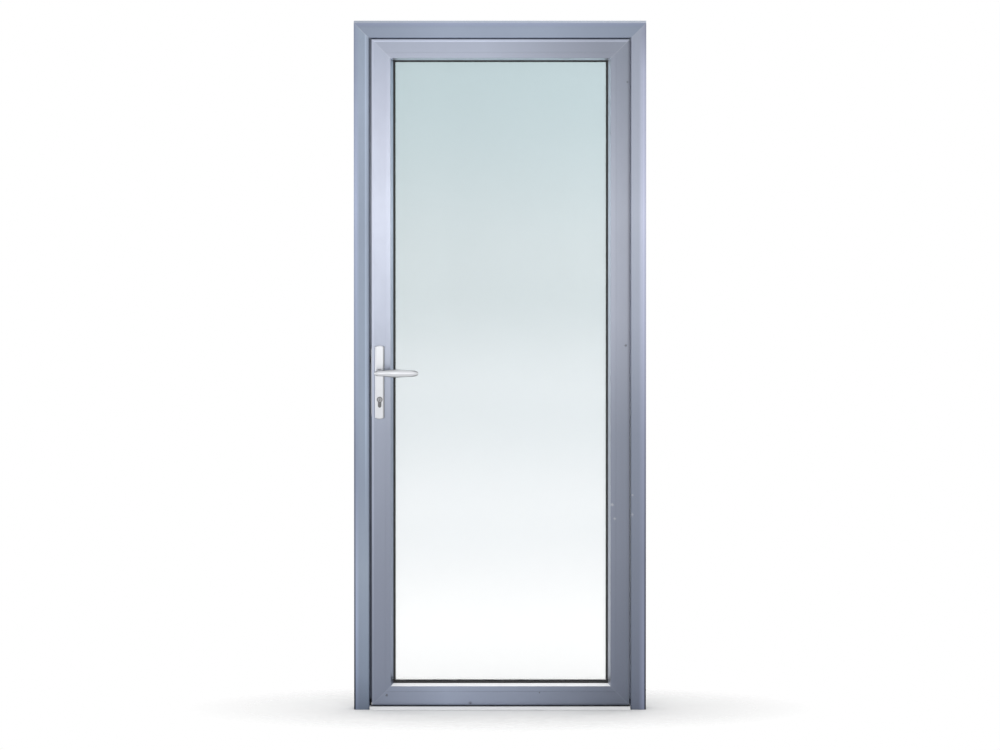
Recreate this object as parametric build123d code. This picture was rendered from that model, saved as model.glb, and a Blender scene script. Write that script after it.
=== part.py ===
from build123d import *
from collections import namedtuple
from math import cos, radians, sin
import os

# A glazed aluminium casement door hung in its frame. X runs to the right, Y to the rear, Z up.
# The origin lies on the floor, at the middle of the frame's width and depth. Sizes are in millimetres.

# Frame
frame_width = 885.0
frame_height = 2100.0
frame_depth = 54.0
frame_face = 47.0
frame_wall = 1.8
frame_inner_bevel = 3.0
frame_outer_bevel = 13.0
frame_outer_drop = 1.4
frame_web_inset = 14.0
rebate_width = 12.0
rebate_depth = 8.0
fixing_radius = 4.1
fixing_access_radius = 7.5
end_fixing_spacing = 1700.0
mid_fixing_spacing = 600.0

# Threshold
threshold_height = 9.0
threshold_lip = 2.5
threshold_slope = 11.0
threshold_wall = 1.8
threshold_leg = 8.0
threshold_nose = 12.0
threshold_hole_radius = 2.75
threshold_hole_spacing = 500.0
pad_setback = 4.0
pad_depth = 12.0
pad_height = 16.0
pad_slope = 4.0
pad_clearance = 1.0
pad_hinge_clearance = 0.3

# Leaf and the gaps around it
lock_gap = 7.0
hinge_gap = 3.0
top_gap = 3.0
floor_gap = 14.0
leaf_recess = 0.0
leaf_depth = 56.0
leaf_tube = 41.0
leaf_wall = 1.8
leaf_bevel_height = 6.0
leaf_bevel_depth = 3.5
fin_reach = 13.0
fin_thickness = 3.0

# Glazing flange on the rear of the leaf bars
flange_thickness = 2.0
flange_end = 65.0
pocket_width = 10.0
pocket_depth = 5.0
gasket_groove = 4.0
gasket_groove_depth = 3.0

# Snap-on glazing bead and the rib that it clips on
bead_joint = 0.3
bead_setback = 0.6
bead_flat_end = 57.0
bead_end = 65.0
bead_nose = 13.0
bead_depth = 17.0
bead_wall = 1.4
rib_depth = 9.0
rib_neck = 1.6
rib_neck_length = 2.2
rib_head = 4.4
rib_head_thickness = 1.6
clip_clearance = 0.25

# Sealed glass unit and its gaskets
pane_thickness = 5.0
pane_gap = 14.0
front_gasket_thickness = 4.0
glass_inset = 47.0
gasket_heel = 51.0
gasket_lip_end = 72.0
gasket_lip_edge = 0.8
gasket_lip_rise = 2.6
gasket_clearance = 0.2
edge_seal_height = 6.0
spacer_height = 7.0
spacer_wall = 0.8
block_length = 100.0
block_inset = 150.0

# Leaf seal and bottom brush
seal_width = 6.0
seal_wall = 1.3
seal_edge_inset = 0.5
seal_foot = 3.0
seal_foot_depth = 1.2
seal_running_gap = 0.3
brush_base_width = 9.0
brush_base = 1.2
brush_pile = 4.5
brush_running_gap = 0.3

# Corner cleats
cleat_arm = 112.0
cleat_rib = 6.0
cleat_clearance = 0.2

# Hinges
hinge_inset = 230.0
hinge_height = 100.0
barrel_radius = 8.0
barrel_clearance = 1.0
middle_knuckle = 36.0
knuckle_clearance = 0.3
hinge_pin_radius = 4.0
pin_running_clearance = 0.05
pin_head_radius = 6.5
pin_head_height = 3.0
bush_wall = 1.5
bush_flange = 1.2
bush_flange_width = 1.9
bush_length = 12.0
hinge_plate = 3.5
hinge_plate_corner = 6.0
frame_plate_margin = 4.0
leaf_plate_width = 42.0
hinge_screw_pitch = 34.0
frame_screw_inset = 16.0
leaf_screw_inset = 24.0

# Screws
screw_radius = 2.4
screw_head_radius = 4.6
screw_head_height = 2.6
screw_length = 13.0
screw_socket_radius = 1.7
screw_socket_depth = 1.6
screw_clearance = 0.1

# Handle
handle_height = 1036.0
handle_backset = 24.0
plate_width = 29.0
plate_above = 80.0
plate_below = 146.0
plate_arch = 4.5
plate_thickness = 9.0
plate_wall = 2.4
plate_edge_round = 4.5
plate_boss_radius = 5.0
plate_screw_above = 63.0
plate_screw_below = 131.0
handle_screw_radius = 2.5
collar_radius = 9.0
collar_end_gap = 0.4
collar_proud = 2.0
neck_radius = 7.0
neck_length = 38.0
neck_flare = 12.0
lever_tail = 16.0
lever_reach = 117.0
grip_height = 23.5
grip_depth = 14.0
grip_station_shares = (0.0, 0.025, 0.09, 0.3, 0.58, 0.84, 0.96, 1.0)
grip_size_shares = (0.22, 0.5, 0.68, 0.87, 1.0, 0.86, 0.6, 0.22)
spindle_size = 8.0
spindle_clearance = 0.05
spindle_engagement = 24.0
grub_radius = 2.5
grub_length = 5.0

# Lock
case_thickness = 15.0
case_wall = 1.5
case_above = 48.0
case_below = 117.0
case_clearance = 0.4
forend_width = 20.0
forend_thickness = 2.0
forend_above = 72.0
forend_below = 142.0
forend_screw_inset = 10.0
bolt_clearance = 0.3
latch_rise = 30.0
latch_height = 16.0
latch_thickness = 12.0
latch_projection = 11.0
latch_tip_flat = 3.0
latch_head_length = 21.0
latch_tail_height = 18.0
latch_tail_thickness = 4.0
latch_lug_width = 2.4
latch_lug_drop = 7.5
latch_lug_offset = 1.4
dead_bolt_drop = 42.0
dead_bolt_height = 22.0
dead_bolt_thickness = 12.0
dead_bolt_length = 34.0
dead_bolt_bevel = 1.2
dead_bolt_leg = 9.0
dead_bolt_leg_drop = 9.0
follower_radius = 10.0
follower_journal = 7.5
follower_side_gap = 0.3
follower_arm = 17.0
follower_arm_width = 5.0
follower_arm_lean = 20.0

# Profile cylinder
cylinder_drop = 85.0
cylinder_radius = 8.5
cylinder_tail_width = 10.0
cylinder_tail_drop = 24.5
cylinder_proud = 2.0
cylinder_clearance = 0.2
plug_radius = 6.5
plug_clearance = 0.05
keyway_width = 2.2
keyway_height = 8.5
keyway_depth = 24.0
cam_width = 9.5
cam_radius = 8.2
cam_reach = 13.2
cam_finger = 7.0
cam_clearance = 0.4

# Strike plate
strike_width = 26.0
strike_thickness = 1.5
strike_above = 64.0
strike_below = 78.0
strike_corner = 6.0
strike_clearance = 2.0
strike_screw_inset = 10.0

# One overrun serves every cut
overrun = 5.0

# Places worked out from the sizes above
Opening = namedtuple("Opening", "left right bottom top")
frame_front = -frame_depth / 2
frame_rear = frame_depth / 2
frame_stop = frame_rear - rebate_depth
frame_rect = Opening(-frame_width / 2, frame_width / 2, 0, frame_height)
jamb_inner = frame_rect.left + frame_face
leaf_front = frame_front + leaf_recess
leaf_rear = leaf_front + leaf_depth
lock_plane = leaf_front + leaf_depth / 2
leaf_rect = Opening(
    jamb_inner + lock_gap,
    frame_rect.right - frame_face - hinge_gap,
    floor_gap,
    frame_rect.top - frame_face - top_gap,
)
bead_back = leaf_front + bead_depth
glass_front = bead_back + front_gasket_thickness
glass_gap_front = glass_front + pane_thickness
glass_gap_rear = glass_gap_front + pane_gap
glass_rear = glass_gap_rear + pane_thickness
pocket_front = leaf_rear - pocket_depth
hinge_x = frame_rect.right - frame_face - hinge_gap + fin_reach
hinge_y = leaf_rear + barrel_clearance + barrel_radius
handle_x = leaf_rect.left + handle_backset
cylinder_z = handle_height - cylinder_drop
plate_front = leaf_front - plate_thickness
plate_rear = leaf_rear + plate_thickness
case_depth = leaf_tube - leaf_wall - case_clearance
latch_z = handle_height + latch_rise
dead_bolt_z = handle_height - dead_bolt_drop
fixing_y = lock_plane
fixing_z = frame_height / 2
SIDES = ("left", "top", "right", "bottom")


# Basic shapes
def polygon(points):
    """A flat face inside straight lines."""
    return make_face(Polyline(*points, close=True))


def field(x0, x1, y0, y1):
    """A rectangular face between two pairs of limits."""
    return polygon([(x0, y0), (x1, y0), (x1, y1), (x0, y1)])


def block(x0, x1, y0, y1, z0, z1):
    """A box between three pairs of limits."""
    middle = Pos((x0 + x1) / 2, (y0 + y1) / 2, (z0 + z1) / 2)
    return middle * Box(x1 - x0, y1 - y0, z1 - z0)


def front_slab(face, y0, y1):
    """A face drawn in X and Z, given thickness from y0 to y1."""
    return extrude(Plane((0, y1, 0), (1, 0, 0), (0, -1, 0)) * face, amount=y1 - y0)


def edge_slab(face, x0, x1):
    """A face drawn in Y and Z, given thickness from x0 to x1."""
    return extrude(Plane((x0, 0, 0), (0, 1, 0), (1, 0, 0)) * face, amount=x1 - x0)


def plan_slab(face, z0, z1):
    """A face drawn in X and Y, given height from z0 to z1."""
    return extrude(Plane((0, 0, z0), (1, 0, 0), (0, 0, 1)) * face, amount=z1 - z0)


def rod_y(x, z, radius, y0, y1):
    """A round rod along Y."""
    return front_slab(Pos(x, z) * Circle(radius), y0, y1)


def rod_z(x, y, radius, z0, z1):
    """A round rod along Z."""
    return plan_slab(Pos(x, y) * Circle(radius), z0, z1)


def ring(rect, outer_inset, inner_inset, y0, y1):
    """A rectangular ring inside an opening, between two insets."""
    sheets = []
    for inset in (outer_inset, inner_inset):
        sheets.append(
            field(rect.left + inset, rect.right - inset, rect.bottom + inset, rect.top - inset)
        )
    return front_slab(sheets[0] - sheets[1], y0, y1)


def to_rear(shape):
    """The mirror image of a piece on the front of the leaf, for its rear."""
    return mirror(shape, about=Plane((0, lock_plane, 0), (1, 0, 0), (0, 1, 0)))


# Bars along the sides of an opening
def side_axes(rect, side):
    """Start corner of a side, the way into the opening, the way along the side, and its length."""
    width = rect.right - rect.left
    height = rect.top - rect.bottom
    sides = {
        "left": ((rect.left, rect.bottom), (1, 0), (0, 1), height),
        "top": ((rect.left, rect.top), (0, -1), (1, 0), width),
        "right": ((rect.right, rect.top), (-1, 0), (0, -1), height),
        "bottom": ((rect.right, rect.bottom), (0, 1), (-1, 0), width),
    }
    return sides[side]


def bar(section, rect, side, outward, inward, start=(1, 1), end=(1, 1)):
    """A bar of one section along a side. Each end has a slope outside and inside: 1 mitred, 0 square."""
    (x, z), inner, along, length = side_axes(rect, side)
    across = Vector(inner[0], 0, inner[1])
    run = Vector(along[0], 0, along[1])
    corner = Vector(x, 0, z)
    section_plane = Plane(origin=corner - run * outward, x_dir=across, z_dir=run)
    blank = extrude(section_plane * section, amount=length + 2 * outward)
    outline = [
        (-outward, -outward * start[0]),
        (0, 0),
        (inward, inward * start[1]),
        (inward, length - inward * end[1]),
        (0, length),
        (-outward, length + outward * end[0]),
    ]
    cut_plane = Plane(origin=corner, x_dir=across, z_dir=across.cross(run))
    return blank & extrude(cut_plane * polygon(outline), amount=frame_depth, both=True)


# Screws, drawn along Z with the top of the head at zero
def countersunk(radius, head_radius, head_height, length):
    """The body of a countersunk screw or of its hole."""
    outline = [(0, 0), (head_radius, 0), (radius, -head_height), (radius, -length), (0, -length)]
    return revolve(Plane.XZ * polygon(outline), Axis.Z)


def screw(length):
    """A countersunk screw with a hexagon socket."""
    socket = extrude(RegularPolygon(screw_socket_radius, 6), amount=-screw_socket_depth)
    return countersunk(screw_radius, screw_head_radius, screw_head_height, length) - socket


def screw_hole(length):
    """The hole that a countersunk screw sits in."""
    hole = countersunk(
        screw_radius + screw_clearance,
        screw_head_radius + screw_clearance,
        screw_head_height + screw_clearance,
        length + overrun,
    )
    return hole + extrude(Circle(screw_head_radius + screw_clearance), amount=overrun)


def seats(points, facing):
    """Planes for screws at the given points, with their heads facing one way."""
    return [Plane(origin=point, z_dir=facing) for point in points]


# Where the screws go
def hinge_centres():
    """Middle heights of the three hinges by name."""
    low = leaf_rect.bottom + hinge_inset
    high = leaf_rect.top - hinge_inset
    return {"bottom": low, "middle": (low + high) / 2, "top": high}


def hinge_screw_seats(z, x, y):
    """Seats of the three screws of one hinge plate."""
    return seats([(x, y, z + step * hinge_screw_pitch) for step in (-1, 0, 1)], (0, 1, 0))


def frame_hinge_seats(z):
    """Seats of the screws in the frame plate of the hinge at one height."""
    return hinge_screw_seats(z, frame_rect.right - frame_screw_inset, frame_rear + hinge_plate)


def leaf_hinge_seats(z):
    """Seats of the screws in the leaf plate of the hinge at one height."""
    return hinge_screw_seats(z, leaf_rect.right - leaf_screw_inset, leaf_rear + hinge_plate)


def strike_seats():
    """Seats of the screws in the strike plate."""
    heights = (
        handle_height + strike_above - strike_screw_inset,
        handle_height - strike_below + strike_screw_inset,
    )
    x = jamb_inner + strike_thickness
    return seats([(x, lock_plane, z) for z in heights], (1, 0, 0))


def forend_seats():
    """Seats of the screws that hold the forend on the stile."""
    heights = (
        handle_height + forend_above - forend_screw_inset,
        handle_height - forend_below + forend_screw_inset,
    )
    x = leaf_rect.left - forend_thickness
    return seats([(x, lock_plane, z) for z in heights], (-1, 0, 0))


def handle_screw_points():
    """Places in X and Z of the two screws that clamp the backplates."""
    return [
        (handle_x, handle_height + plate_screw_above),
        (handle_x, handle_height - plate_screw_below),
    ]


def cylinder_screw_seat():
    """Seat of the screw that holds the cylinder, in the forend."""
    drop = (cam_reach + cam_clearance + cylinder_tail_drop) / 2
    return Plane((leaf_rect.left - forend_thickness, lock_plane, cylinder_z - drop), z_dir=(-1, 0, 0))


def bolt_openings(clearance):
    """Faces in Y and Z around the latch bolt and the dead bolt."""
    openings = []
    for z, height, thickness in (
        (latch_z, latch_height, latch_thickness),
        (dead_bolt_z, dead_bolt_height, dead_bolt_thickness),
    ):
        window = Rectangle(thickness + 2 * clearance, height + 2 * clearance)
        openings.append(Pos(lock_plane, z) * window)
    return openings


# Frame
def frame_section():
    """Hollow section of jambs and head: X from the outer edge inwards, Y the depth."""
    inner = frame_face - frame_wall
    shoulder = frame_face - rebate_width
    web_front = frame_front + frame_web_inset - frame_wall / 2
    web_rear = web_front + frame_wall
    outer = polygon(
        [
            (0, frame_front + frame_outer_drop),
            (frame_outer_bevel, frame_front),
            (frame_face - frame_inner_bevel, frame_front),
            (frame_face, frame_front + frame_inner_bevel),
            (frame_face, frame_stop),
            (shoulder, frame_stop),
            (shoulder, frame_rear),
            (0, frame_rear),
        ]
    )
    front_chamber = polygon(
        [
            (frame_wall, frame_front + frame_outer_drop + frame_wall),
            (frame_outer_bevel, frame_front + frame_wall),
            (frame_face - frame_inner_bevel, frame_front + frame_wall),
            (inner, frame_front + frame_inner_bevel),
            (inner, web_front),
            (frame_wall, web_front),
        ]
    )
    rear_chamber = polygon(
        [
            (frame_wall, web_rear),
            (inner, web_rear),
            (inner, frame_stop - frame_wall),
            (shoulder - frame_wall, frame_stop - frame_wall),
            (shoulder - frame_wall, frame_rear - frame_wall),
            (frame_wall, frame_rear - frame_wall),
        ]
    )
    return outer - front_chamber - rear_chamber


def fixing_holes(outer_x, inner_x):
    """Screw holes in the outer wall of a jamb and access holes in its inner wall."""
    holes = []
    for spacing in (end_fixing_spacing, mid_fixing_spacing):
        for way in (-1, 1):
            spot = Pos(fixing_y, fixing_z + way * spacing / 2)
            for x, radius in ((outer_x, fixing_radius), (inner_x, fixing_access_radius)):
                holes.append(edge_slab(spot * Circle(radius), x - overrun, x + overrun))
    return holes


def lock_jamb():
    """Left jamb, with openings for the two bolts."""
    jamb = bar(frame_section(), frame_rect, "left", overrun, frame_face, start=(0, 0))
    for window in bolt_openings(strike_clearance + bolt_clearance):
        jamb -= edge_slab(window, jamb_inner - overrun, jamb_inner + overrun)
    for seat in strike_seats():
        jamb -= seat * screw_hole(screw_length)
    return jamb - fixing_holes(frame_rect.left, jamb_inner)


def hinge_jamb():
    """Right jamb, with screw holes for the hinges."""
    jamb = bar(frame_section(), frame_rect, "right", overrun, frame_face, end=(0, 0))
    for z in hinge_centres().values():
        for seat in frame_hinge_seats(z):
            jamb -= seat * screw_hole(screw_length)
    return jamb - fixing_holes(frame_rect.right, frame_rect.right - frame_face)


def head():
    """Top bar of the frame."""
    return bar(frame_section(), frame_rect, "top", overrun, frame_face)


def threshold():
    """Low floor bar between the jambs, with sloped edges, three legs and screw holes."""
    front = frame_front - threshold_nose
    outer = polygon(
        [
            (front, 0),
            (front, threshold_lip),
            (front + threshold_slope, threshold_height),
            (frame_rear - threshold_slope, threshold_height),
            (frame_rear, threshold_lip),
            (frame_rear, 0),
        ]
    )
    roof = threshold_height - threshold_wall
    for way, edge in ((-1, front), (1, frame_rear)):
        cavity = [
            (way * threshold_leg / 2, 0),
            (way * threshold_leg / 2, roof),
            (edge - way * (threshold_slope + threshold_wall / 2), roof),
            (edge - way * threshold_leg, 0),
        ]
        outer -= polygon(cavity)
    strip = edge_slab(outer, jamb_inner, -jamb_inner)
    for way in (-1, 1):
        x = way * threshold_hole_spacing / 2
        y = frame_depth / 4
        strip -= rod_z(x, y, threshold_hole_radius, -overrun, threshold_height + overrun)
    return strip


def threshold_pads():
    """Rubber blocks on the threshold that close the two corners beside the leaf."""
    front = lock_plane + pad_setback
    high = threshold_height + pad_height
    side = polygon(
        [
            (front, threshold_height),
            (front + pad_depth, threshold_height),
            (front + pad_depth, high),
            (front + pad_slope, high),
            (front, high - pad_slope),
        ]
    )
    return [
        edge_slab(side, jamb_inner, leaf_rect.left - pad_clearance),
        edge_slab(side, leaf_rect.right + pad_hinge_clearance, -jamb_inner),
    ]


def cleat(corner_x, corner_z, way_x, way_z, width, y0, y1):
    """An L-shaped block with windows that joins two hollow bars at a corner."""
    long = cleat_arm
    shape = field(0, long, 0, width) + field(0, width, 0, long)
    inner = width - cleat_rib
    shape -= field(cleat_rib, inner, cleat_rib, inner)
    shape -= field(width, long - cleat_rib, cleat_rib, inner)
    shape -= field(cleat_rib, inner, width, long - cleat_rib)
    piece = front_slab(shape, y0, y1)
    if way_x < 0:
        piece = mirror(piece, about=Plane.YZ)
    if way_z < 0:
        piece = mirror(piece, about=Plane.XY)
    return Pos(corner_x, 0, corner_z) * piece


def frame_cleats():
    """Corner blocks inside the two top corners of the frame."""
    web_rear = frame_front + frame_web_inset + frame_wall / 2
    inset = frame_wall + cleat_clearance
    width = frame_face - 2 * inset
    y0 = web_rear + cleat_clearance
    y1 = frame_stop - frame_wall - cleat_clearance
    top = frame_rect.top - inset
    return [
        cleat(frame_rect.left + inset, top, 1, -1, width, y0, y1),
        cleat(frame_rect.right - inset, top, -1, -1, width, y0, y1),
    ]


def strike_plate():
    """Plate on the lock jamb that takes the two bolts."""
    tall = strike_above + strike_below
    middle = handle_height + (strike_above - strike_below) / 2
    face = Pos(lock_plane, middle) * RectangleRounded(strike_width, tall, strike_corner)
    for window in bolt_openings(strike_clearance):
        face -= window
    plate = edge_slab(face, jamb_inner, jamb_inner + strike_thickness)
    for seat in strike_seats():
        plate -= seat * screw_hole(screw_length)
    return plate


# Leaf bars
def leaf_section(with_fin):
    """Hollow section of the leaf bars: X from the leaf's edge inwards, Y the depth."""
    outer = polygon(
        [
            (0, leaf_front + leaf_bevel_depth),
            (leaf_bevel_height, leaf_front),
            (leaf_tube, leaf_front),
            (leaf_tube, leaf_rear),
            (0, leaf_rear),
        ]
    )
    half_wall = leaf_wall / 2
    chamber = polygon(
        [
            (leaf_wall, leaf_front + leaf_bevel_depth + half_wall),
            (leaf_bevel_height + half_wall, leaf_front + leaf_wall),
            (leaf_tube - leaf_wall, leaf_front + leaf_wall),
            (leaf_tube - leaf_wall, leaf_rear - leaf_wall),
            (leaf_wall, leaf_rear - leaf_wall),
        ]
    )
    pocket = flange_end - pocket_width
    groove = pocket + (pocket_width - gasket_groove) / 2
    rib = leaf_front + rib_depth
    neck_end = leaf_tube + rib_neck_length
    section = outer - chamber
    section += field(leaf_tube, flange_end, leaf_rear - flange_thickness, leaf_rear)
    section += field(pocket, flange_end, pocket_front, leaf_rear)
    section -= field(groove, groove + gasket_groove, pocket_front, pocket_front + gasket_groove_depth)
    section += field(leaf_tube, neck_end, rib - rib_neck / 2, rib + rib_neck / 2)
    section += field(neck_end, neck_end + rib_head_thickness, rib - rib_head / 2, rib + rib_head / 2)
    if with_fin:
        fin_front = leaf_rear - fin_thickness
        foot = -fin_reach + seal_edge_inset + seal_width / 2
        section += field(-fin_reach, 0, fin_front, leaf_rear)
        section -= field(
            foot - seal_foot / 2, foot + seal_foot / 2, fin_front, fin_front + seal_foot_depth
        )
    return section


def leaf_bar(side):
    """One bar of the leaf. The fin runs along the stiles and the top rail, and ends at the bottom."""
    ends = {"left": ((0, 1), (1, 1)), "right": ((1, 1), (0, 1))}
    start, end = ends.get(side, ((1, 1), (1, 1)))
    section = leaf_section(side != "bottom")
    return bar(section, leaf_rect, side, fin_reach + overrun, flange_end, start, end)


def euro_face(clearance):
    """Outline of a profile cylinder in X and Z, grown by a clearance."""
    half = cylinder_tail_width / 2 + clearance
    foot = cylinder_tail_drop - cylinder_tail_width / 2
    face = Circle(cylinder_radius + clearance)
    face += field(-half, half, -foot, 0)
    face += Pos(0, -foot) * Circle(half)
    return Pos(handle_x, cylinder_z) * face


def lock_stile():
    """Left stile, cut for the lock case, the handle and the cylinder."""
    stile = leaf_bar("left")
    stile -= block(
        leaf_rect.left - overrun,
        leaf_rect.left + leaf_wall + overrun,
        lock_plane - case_thickness / 2 - case_clearance,
        lock_plane + case_thickness / 2 + case_clearance,
        handle_height - case_below - case_clearance,
        handle_height + case_above + case_clearance,
    )
    for seat in forend_seats():
        stile -= seat * screw_hole(screw_length)
    y0 = leaf_front - overrun
    y1 = leaf_rear + overrun
    stile -= rod_y(handle_x, handle_height, collar_radius + case_clearance, y0, y1)
    stile -= front_slab(euro_face(case_clearance), y0, y1)
    for x, z in handle_screw_points():
        stile -= rod_y(x, z, handle_screw_radius + case_clearance, y0, y1)
    return stile


def hinge_stile():
    """Right stile, with screw holes for the hinges."""
    stile = leaf_bar("right")
    for z in hinge_centres().values():
        for seat in leaf_hinge_seats(z):
            stile -= seat * screw_hole(screw_length)
    return stile


def leaf_cleats():
    """Corner blocks inside the four corners of the leaf."""
    inset = leaf_wall + cleat_clearance
    width = leaf_tube - 2 * inset
    y0 = leaf_front + leaf_bevel_depth + leaf_wall
    y1 = leaf_rear - inset
    pieces = []
    for x, way_x in ((leaf_rect.left + inset, 1), (leaf_rect.right - inset, -1)):
        for z, way_z in ((leaf_rect.bottom + inset, 1), (leaf_rect.top - inset, -1)):
            pieces.append(cleat(x, z, way_x, way_z, width, y0, y1))
    return pieces


# Glazing
def bead_section():
    """Hollow snap-on bead: flat front, slope to the glass, clip channel and gasket groove."""
    foot = leaf_tube + bead_joint
    face = leaf_front + bead_setback
    body = polygon(
        [
            (foot, face),
            (bead_flat_end, face),
            (bead_end, leaf_front + bead_nose),
            (bead_end, bead_back),
            (foot, bead_back),
        ]
    )
    rib = leaf_front + rib_depth
    neck_half = rib_neck / 2 + clip_clearance
    head_half = rib_head / 2 + clip_clearance
    head_start = leaf_tube + rib_neck_length - clip_clearance
    head_end = leaf_tube + rib_neck_length + rib_head_thickness + clip_clearance
    groove = flange_end - pocket_width + (pocket_width - gasket_groove) / 2
    groove_front = bead_back - gasket_groove_depth
    chamber = offset(body, amount=-bead_wall)
    chamber &= field(head_end + bead_wall, bead_end, face, groove_front - bead_wall)
    body -= chamber
    body -= field(foot - overrun, head_start, rib - neck_half, rib + neck_half)
    body -= field(head_start, head_end, rib - head_half, rib + head_half)
    return body - field(groove, groove + gasket_groove, groove_front, bead_back)


def bead(side):
    """One glazing bead, mitred at both ends."""
    return bar(bead_section(), leaf_rect, side, overrun, bead_end + overrun)


def gasket_section(seat, glass, lip_rise):
    """Rubber wedge between a bead or flange and the glass, with a root in the groove and a sloped lip."""
    way = 1 if glass > seat else -1
    groove = flange_end - pocket_width + (pocket_width - gasket_groove) / 2
    root = field(
        groove + gasket_clearance,
        groove + gasket_groove - gasket_clearance,
        seat,
        seat - way * (gasket_groove_depth - gasket_clearance),
    )
    lip = bead_end + gasket_clearance
    body = polygon(
        [
            (gasket_heel, seat),
            (lip, seat),
            (lip, seat - way * lip_rise),
            (gasket_lip_end, glass - way * gasket_lip_edge),
            (gasket_lip_end, glass),
            (gasket_heel, glass),
        ]
    )
    return body + root


def glazing_gasket(seat, glass, lip_rise):
    """A gasket that runs round the glass with joined corners."""
    section = gasket_section(seat, glass, lip_rise)
    loop = None
    for side in SIDES:
        length = bar(section, leaf_rect, side, overrun, gasket_lip_end + overrun)
        loop = length if loop is None else loop + length
    return loop


def pane(y0):
    """One sheet of glass with its front at y0."""
    return block(
        leaf_rect.left + glass_inset,
        leaf_rect.right - glass_inset,
        y0,
        y0 + pane_thickness,
        leaf_rect.bottom + glass_inset,
        leaf_rect.top - glass_inset,
    )


def edge_seal():
    """Sealant behind the spacer, round the edge of the glass unit."""
    inner = glass_inset + edge_seal_height
    return ring(leaf_rect, glass_inset, inner, glass_gap_front, glass_gap_rear)


def spacer():
    """Hollow bar that keeps the two panes apart."""
    outer = glass_inset + edge_seal_height
    inner = outer + spacer_height
    tube = ring(leaf_rect, outer, inner, glass_gap_front, glass_gap_rear)
    hollow = ring(
        leaf_rect,
        outer + spacer_wall,
        inner - spacer_wall,
        glass_gap_front + spacer_wall,
        glass_gap_rear - spacer_wall,
    )
    return tube - hollow


def glass_block(side, place):
    """A packer between a leaf bar and the edge of the glass, centred at a place along the side."""
    (x, z), inner, along, length = side_axes(leaf_rect, side)
    middle = (leaf_tube + glass_inset) / 2
    thick = glass_inset - leaf_tube
    centre_x = x + inner[0] * middle + along[0] * place
    centre_z = z + inner[1] * middle + along[1] * place
    size_x = thick * abs(inner[0]) + block_length * abs(along[0])
    size_z = thick * abs(inner[1]) + block_length * abs(along[1])
    centre = Pos(centre_x, (glass_front + glass_rear) / 2, centre_z)
    return centre * Box(size_x, glass_rear - glass_front, size_z)


def glass_blocks(sides):
    """Two packers on each of the given sides, set in from the corners."""
    pieces = []
    for side in sides:
        length = side_axes(leaf_rect, side)[3]
        for place in (block_inset, length - block_inset):
            pieces.append(glass_block(side, place))
    return pieces


# Seals of the leaf
def seal_section():
    """Hollow bulb on the fin with a foot in the fin's groove."""
    fin_front = leaf_rear - fin_thickness
    left = -fin_reach + seal_edge_inset
    right = left + seal_width
    middle = (left + right) / 2
    tip = frame_stop + seal_running_gap
    radius = seal_width / 2
    outer = field(left, right, tip + radius, fin_front) + Pos(middle, tip + radius) * Circle(radius)
    hollow = field(left + seal_wall, right - seal_wall, tip + radius, fin_front - seal_wall)
    hollow += Pos(middle, tip + radius) * Circle(radius - seal_wall)
    foot_half = seal_foot / 2 - gasket_clearance
    foot_end = fin_front + seal_foot_depth - gasket_clearance
    foot = field(middle - foot_half, middle + foot_half, fin_front, foot_end)
    return outer - hollow + foot


def leaf_seal():
    """Rubber bulb along both stiles and the top rail."""
    loop = None
    ends = {"left": ((0, 1), (1, 1)), "top": ((1, 1), (1, 1)), "right": ((1, 1), (0, 1))}
    for side, (start, end) in ends.items():
        length = bar(seal_section(), leaf_rect, side, fin_reach + overrun, overrun, start, end)
        loop = length if loop is None else loop + length
    return loop


def bottom_brush():
    """Brush strip under the bottom rail, with its pile just above the threshold."""
    base = leaf_rect.bottom - brush_base
    tip = threshold_height + brush_running_gap
    strip = block(
        leaf_rect.left,
        leaf_rect.right,
        lock_plane - brush_base_width / 2,
        lock_plane + brush_base_width / 2,
        base,
        leaf_rect.bottom,
    )
    return strip + block(
        leaf_rect.left,
        leaf_rect.right,
        lock_plane - brush_pile / 2,
        lock_plane + brush_pile / 2,
        tip,
        base,
    )


# Hinges
def knuckle_levels(z):
    """Bottom and top of the lower, middle and upper knuckles of a hinge centred at z."""
    middle = middle_knuckle / 2
    inner = middle + bush_flange + knuckle_clearance
    outer = hinge_height / 2
    return (z - outer, z - inner), (z - middle, z + middle), (z + inner, z + outer)


def plate_blank(x0, x1, y0, z):
    """A hinge plate on a rear face, with round corners."""
    face = Pos((x0 + x1) / 2, z) * RectangleRounded(x1 - x0, hinge_height, hinge_plate_corner)
    return front_slab(face, y0, y0 + hinge_plate)


def hinge_frame_plate(z):
    """Plate on the frame with the lower and upper knuckles."""
    edge = frame_rect.right - frame_plate_margin
    root = hinge_x + barrel_radius
    shoulder = frame_rect.right - frame_face + rebate_width
    lower, middle, upper = knuckle_levels(z)
    plate = plate_blank(shoulder, edge, frame_rear, z)
    swept = barrel_radius + barrel_clearance
    plate -= rod_z(hinge_x, hinge_y, swept, lower[1], upper[0])
    web = field(shoulder, root, frame_rear, hinge_y)
    for z0, z1 in (lower, upper):
        plate += plan_slab(web, z0, z1) + rod_z(hinge_x, hinge_y, barrel_radius, z0, z1)
    bore = hinge_pin_radius + pin_running_clearance
    plate -= rod_z(hinge_x, hinge_y, bore, lower[0] - overrun, upper[1] + overrun)
    for seat in frame_hinge_seats(z):
        plate -= seat * screw_hole(screw_length)
    return plate


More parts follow.
